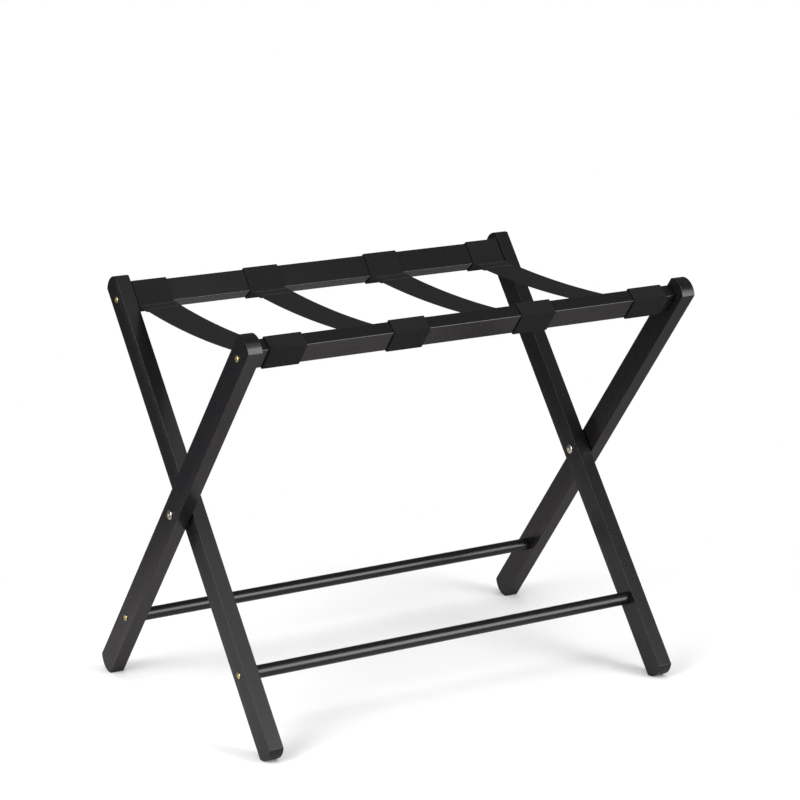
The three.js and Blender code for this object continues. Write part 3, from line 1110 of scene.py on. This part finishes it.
def stitch_row(name):
    """One row of stitches across the webbing: short threads whose ends dive into it."""
    webbing = bpy.context.scene.rack_webbing
    length = webbing.stitch_pitch * STITCH_SHARE
    stitch = add_bar(name, -length / 2, length / 2, THREAD_DIAMETER, steps=8)
    with editing(stitch):
        for side in (-1, 1):
            slice_at((side * length / 4, 0, 0), (1, 0, 0))
        pick_vertices(stitch, lambda place: abs(place.x) > length * 0.4)
        bpy.ops.transform.translate(value=(0, 0, -THREAD_DIP))
    count = int(STRAP_WIDTH * SEWN_SHARE / webbing.stitch_pitch)
    apply_modifier(stitch, "ARRAY", count=count, use_relative_offset=False, use_constant_offset=True,
                   constant_offset_displace=(webbing.stitch_pitch, 0, 0))
    stitch.location.x = -webbing.stitch_pitch * (count - 1) / 2
    make_active(stitch)
    apply_transform()
    return stitch


def make_stitching(name, route):
    """The rows that sew each tail to the span, on the top of the span and on the underside of the tail."""
    webbing = bpy.context.scene.rack_webbing
    pattern = stitch_row("stitch_pattern")
    end_y = -SPAN_LOW.y
    rows = []
    for face, depth in ((1, webbing.thickness / 2), (-1, webbing.thickness * 1.5 + TAIL_SPARE)):
        for from_rail in STITCH_ROWS:
            for side in (-1, 1):
                y = side * (end_y - from_rail)
                start, end = next(
                    (a, b) for a, b in zip(route, route[1:])
                    if a.y <= y <= b.y and b.y - a.y > TOUCHING and b.z > SPAN_LOW.z
                    and max(abs(a.y), abs(b.y)) < end_y)
                along = (end - start).normalized()
                point = start.lerp(end, (y - start.y) / (end.y - start.y))
                normal = Vector((0, -along.z, along.y)).normalized() * face
                row = copied(pattern, "stitches")
                row.matrix_world = (
                    Matrix.Translation(point + normal * depth)
                    @ Matrix.Rotation(math.atan2(along.z, along.y), 4, "X")
                    @ Matrix.Diagonal((1, 1, face, 1)))
                make_active(row)
                apply_transform()
                rows.append(row)
    bpy.data.objects.remove(pattern)
    deselect()
    for row in rows:
        row.select_set(True)
    bpy.context.view_layer.objects.active = rows[0]
    bpy.ops.object.join()
    stitching = take_name(name)
    turn_outwards(stitching)
    return stitching


class RACK_OT_add_straps(bpy.types.Operator):
    """Add the four straps, each one length of webbing sewn into a loop round both rails"""

    bl_idname = "rack.add_straps"
    bl_label = "Straps"

    def execute(self, context):
        for index in STRAPS:
            route = strap_route(index)
            strap = make_webbing(f"strap_{index}", route)
            strap.data.materials.append(webbing_material("ribbed_webbing"))
            stitching = make_stitching(f"strap_{index}_stitching", route)
            stitching.data.materials.clear()
            stitching.data.materials.append(thread_material("sewing_thread"))
            for piece in (strap, stitching):
                make_active(piece)
                bpy.ops.object.shade_smooth_by_angle(angle=SMOOTH_ANGLE)
                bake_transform(piece)
            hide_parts(*(f"strap_{index}_{part}" for part in ("front_loop", "span", "back_loop")))
        return {"FINISHED"}


# Stage


def floor_material(colour):
    """Pale matt floor that fades into the white background, and grows dim in the paint's reflections."""
    material, tree, shader = new_material("pale_floor", Roughness=0.9, Specular_IOR_Level=0.1)
    place = object_place(tree)
    mottle = noise(tree, place, 3, 3, 0.6)
    tone = shaded(tree, mottle, colour, 0.995, 1.005)
    coloured(tree, shader, tone)
    away = add_node(tree, "ShaderNodeVectorMath", {0: place}, operation="LENGTH").outputs["Value"]
    rays = add_node(tree, "ShaderNodeLightPath").outputs
    dimming = ranged(tree, away, 0.25, 1.1, 0, 1)
    reflected = mixed(tree, dimming, (0.45, 0.42, 0.43, 1), (0.08, 0.08, 0.09, 1))
    table = add_node(tree, "ShaderNodeBsdfDiffuse", {"Color": reflected})
    glossy = rays["Is Glossy Ray"]
    lit = add_node(tree, "ShaderNodeMixShader", {0: glossy, 1: shader.outputs[0], 2: table.outputs[0]})
    white = add_node(tree, "ShaderNodeEmission")
    faded = maths(tree, "MULTIPLY", ranged(tree, away, 0.38, 0.66, 0, 1), rays["Is Camera Ray"])
    shown = add_node(tree, "ShaderNodeMixShader", {0: faded, 1: lit.outputs[0], 2: white.outputs[0]})
    tree.links.new(shown.outputs[0], tree.nodes["Material Output"].inputs["Surface"])
    return material


def make_world():
    """White behind the rack, soft fill for its surfaces, and dark surroundings in its reflections."""
    world = bpy.data.worlds.new("studio")
    world.use_nodes = True
    bpy.context.scene.world = world
    tree = world.node_tree
    rays = add_node(tree, "ShaderNodeLightPath").outputs
    surroundings = mixed(tree, rays["Is Glossy Ray"], (0.46, 0.46, 0.46, 1), (0.11, 0.115, 0.13, 1))
    seen = mixed(tree, rays["Is Camera Ray"], surroundings, (1, 1, 1, 1))
    tree.links.new(seen, tree.nodes["Background"].inputs["Color"])


def add_panel(name, place, target, size, power, in_reflections):
    """A rectangular light that faces a target."""
    aim = (Vector(target) - Vector(place)).to_track_quat("-Z", "Y").to_euler()
    bpy.ops.object.light_add(type="AREA", location=place, rotation=aim)
    light = take_name(name)
    light.data.shape = "RECTANGLE"
    light.data.size, light.data.size_y = size
    light.data.energy = power
    light.visible_glossy = in_reflections
    return light


def add_camera(stage):
    azimuth, elevation = stage.azimuth, stage.elevation
    back = Vector((math.sin(azimuth) * math.cos(elevation), -math.cos(azimuth) * math.cos(elevation),
                   math.sin(elevation)))
    aim = PIVOT + Vector((stage.aim_right, 0, stage.aim_above_pivot))
    bpy.ops.object.camera_add(location=aim + back * stage.distance,
                              rotation=(-back).to_track_quat("-Z", "Y").to_euler())
    camera = take_name("camera")
    camera.data.lens = stage.lens
    camera.data.clip_end = 100
    bpy.context.scene.camera = camera


class RACK_OT_add_stage(bpy.types.Operator):
    """Add the pale floor, the soft studio lights and the camera"""

    bl_idname = "rack.add_stage"
    bl_label = "Stage"

    def execute(self, context):
        stage = context.scene.rack_stage
        deselect()
        bpy.ops.mesh.primitive_plane_add(size=stage.floor_size)
        floor = take_name("floor")
        floor.data.materials.append(floor_material(stage.floor_colour))
        make_world()
        add_panel("overhead", (0, -0.2, 3.0), (0, 0, 0), (3.4, 3.4), stage.overhead_power, False)
        add_panel("softbox", (1.35, -2.4, 1.1), (0, 0, 0.9), (1.2, 2.2), stage.softbox_power, True)
        add_panel("side_softbox", (-2.2, -0.5, 1.15), (0, 0, 0.6), (1.3, 2.2), stage.side_power, True)
        add_panel("high_softbox", (0.6, -1.75, 2.2), (0, 0, 0.3), (1.4, 1.5), stage.high_power, True)
        add_camera(stage)
        context.scene.view_settings.view_transform = "Standard"
        return {"FINISHED"}


# Panel and registration

OPERATORS = (
    RACK_OT_add_stage, RACK_OT_add_legs, RACK_OT_add_top_rails, RACK_OT_add_stretchers, RACK_OT_finish_pins,
    RACK_OT_add_screws, RACK_OT_add_pivots, RACK_OT_add_straps,
)
SETTINGS = {
    "rack_timber": RackTimber, "rack_hardware": RackHardware, "rack_webbing": RackWebbing,
    "rack_stage": RackStage,
}


class RACK_PT_build(bpy.types.Panel):
    """Lists the steps that build the rack"""

    bl_label = "Folding luggage rack"
    bl_space_type = "VIEW_3D"
    bl_region_type = "UI"
    bl_category = "Rack"

    def draw(self, context):
        for operator in OPERATORS:
            self.layout.operator(operator.bl_idname)


CLASSES = (*SETTINGS.values(), *OPERATORS, RACK_PT_build)


def register():
    for item in CLASSES:
        bpy.utils.register_class(item)
    for name, settings in SETTINGS.items():
        setattr(bpy.types.Scene, name, bpy.props.PointerProperty(type=settings))


def unregister():
    for name in SETTINGS:
        delattr(bpy.types.Scene, name)
    for item in reversed(CLASSES):
        bpy.utils.unregister_class(item)


def main():
    register()
    bpy.ops.rack.add_stage()
    bpy.ops.rack.add_legs()
    bpy.ops.rack.add_top_rails()
    bpy.ops.rack.add_stretchers()
    bpy.ops.rack.finish_pins()
    bpy.ops.rack.add_screws()
    bpy.ops.rack.add_pivots()
    bpy.ops.rack.add_straps()


if __name__ == "__main__":
    main()
